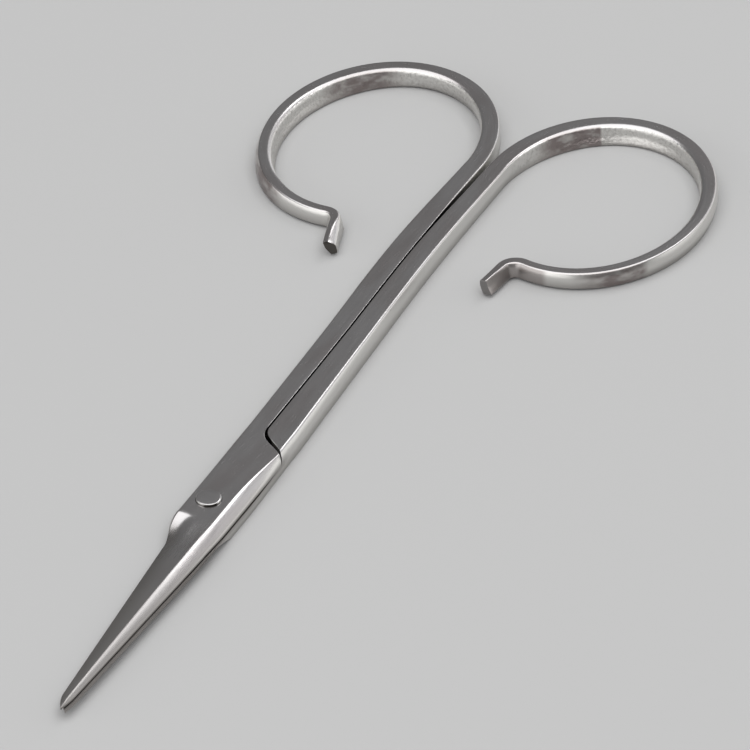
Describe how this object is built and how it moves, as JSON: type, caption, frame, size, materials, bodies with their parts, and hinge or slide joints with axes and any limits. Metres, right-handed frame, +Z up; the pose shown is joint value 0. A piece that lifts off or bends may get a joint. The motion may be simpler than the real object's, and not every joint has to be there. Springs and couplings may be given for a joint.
{
  "type": "scissors",
  "caption": "Slim straight scissors with a closed half-lap joint, narrow pointed blades, long shanks and open finger rings that end in outward hooks, pivoting on a rivet.",
  "frame": {"origin": "on the rivet's axis, at the height of the flat surface that the scissors lie on", "axes": "+Z up from the surface along the rivet's axis, +Y from the rivet towards the finger rings, +X towards the lower half's ring"},
  "size_m": [0.0507, 0.1151, 0.0025],
  "materials": {
    "lower_half": "ground and lightly polished steel, used",
    "upper_half": "ground and lightly polished steel, used",
    "pivot_rivet": "filed steel rivet head"
  },
  "bodies": {
    "lower": {"lower_half": "lower_half", "pivot_rivet": "pivot_rivet"},
    "upper": {"upper_half": "upper_half"}
  },
  "joints": [
    {"name": "pivot", "type": "hinge", "parent": "lower", "child": "upper", "pos_m": [0, 0, 0], "axis": [0, 0, 1], "range_deg": [0, 70]}
  ]
}
